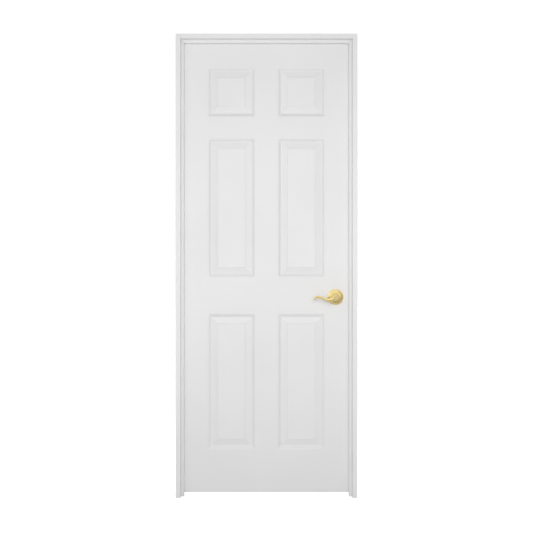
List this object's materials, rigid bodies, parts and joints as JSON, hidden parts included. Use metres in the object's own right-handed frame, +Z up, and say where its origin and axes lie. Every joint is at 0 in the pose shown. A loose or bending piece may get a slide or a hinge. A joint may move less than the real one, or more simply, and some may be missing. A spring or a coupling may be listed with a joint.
{
  "type": "six-panel interior door",
  "caption": "White moulded six-panel interior door hung in its flat jamb frame, with butt hinges, a tubular privacy latch and waved brass levers.",
  "frame": {"origin": "on the floor line, midway between the jamb legs and midway through the depth of the jamb", "axes": "+Z up the jamb legs, +Y through the doorway from the push side to the pull side, +X across the doorway from the hinges to the handle"},
  "size_m": [0.81, 0.1848, 2.07],
  "materials": {
    "door_paint": "satin white paint on moulded fibreboard",
    "trim_paint": "satin white paint on softwood",
    "bare_wood": "bare softwood",
    "cardboard": "plain board",
    "polished_brass": "polished",
    "hinge_brass": "polished plate",
    "plated_brass": "polished plate",
    "zinc_steel": "zinc plated"
  },
  "bodies": {
    "frame": {"jamb_leg_hinge": "trim_paint", "jamb_leg_strike": "trim_paint", "jamb_head": "trim_paint", "jamb_head_screws": "zinc_steel", "stop_hinge_side": "trim_paint", "stop_strike_side": "trim_paint", "stop_head": "trim_paint", "stop_brads": "zinc_steel", "hinge_leaf_frame_bottom": "hinge_brass", "hinge_leaf_frame_middle": "hinge_brass", "hinge_leaf_frame_top": "hinge_brass", "hinge_pin_bottom": "hinge_brass", "hinge_pin_middle": "hinge_brass", "hinge_pin_top": "hinge_brass", "hinge_screws_frame": "plated_brass", "strike_plate": "plated_brass", "strike_screws": "plated_brass"},
    "door": {"door_skin_push": "door_paint", "door_skin_pull": "door_paint", "stile_hinge": "trim_paint", "stile_lock": "trim_paint", "rail_bottom": "trim_paint", "rail_top": "trim_paint", "lock_block": "bare_wood", "core_strips": "cardboard", "hinge_leaf_door_bottom": "hinge_brass", "hinge_leaf_door_middle": "hinge_brass", "hinge_leaf_door_top": "hinge_brass", "hinge_screws_door": "plated_brass", "latch_case": "zinc_steel", "latch_faceplate": "plated_brass", "latch_faceplate_screws": "plated_brass", "latch_spring": "zinc_steel", "rosette_push": "polished_brass", "rosette_pull": "polished_brass", "mounting_plate_push": "zinc_steel", "mounting_plate_pull": "zinc_steel", "through_screws": "zinc_steel", "rose_spring_push": "zinc_steel", "rose_spring_pull": "zinc_steel"},
    "levers": {"lever_push": "polished_brass", "lever_pull": "polished_brass", "spindle": "zinc_steel", "latch_cam": "zinc_steel", "lever_set_screws": "zinc_steel"},
    "latch_bolt": {"latch_bolt": "plated_brass"},
    "privacy_turn": {"turn_button": "polished_brass", "lock_bar": "zinc_steel"}
  },
  "joints": [
    {"name": "door_swing", "type": "hinge", "parent": "frame", "child": "door", "pos_m": [-0.3825, 0.072, 1.06], "axis": [0, 0, 1], "range_deg": [0, 175]},
    {"name": "lever_turn", "type": "hinge", "parent": "door", "child": "levers", "pos_m": [0.311, 0.0395, 0.895], "axis": [0, -1, 0], "range_deg": [0, 55], "stiffness_Nm_per_rad": 1.2, "springref_deg": -20.05, "deforming": ["rose_spring_push", "rose_spring_pull"]},
    {"name": "latch_slide", "type": "slide", "parent": "door", "child": "latch_bolt", "axis": [-1, 0, 0], "range_m": [0, 0.012], "deforming": ["latch_spring"]},
    {"name": "privacy_turn", "type": "hinge", "parent": "levers", "child": "privacy_turn", "pos_m": [0.311, 0.117, 0.895], "axis": [0, 1, 0], "range_deg": [0, 90]}
  ],
  "couplings": [
    {"joint": "latch_slide", "follows": "lever_turn", "m_per_rad": 0.0125}
  ]
}
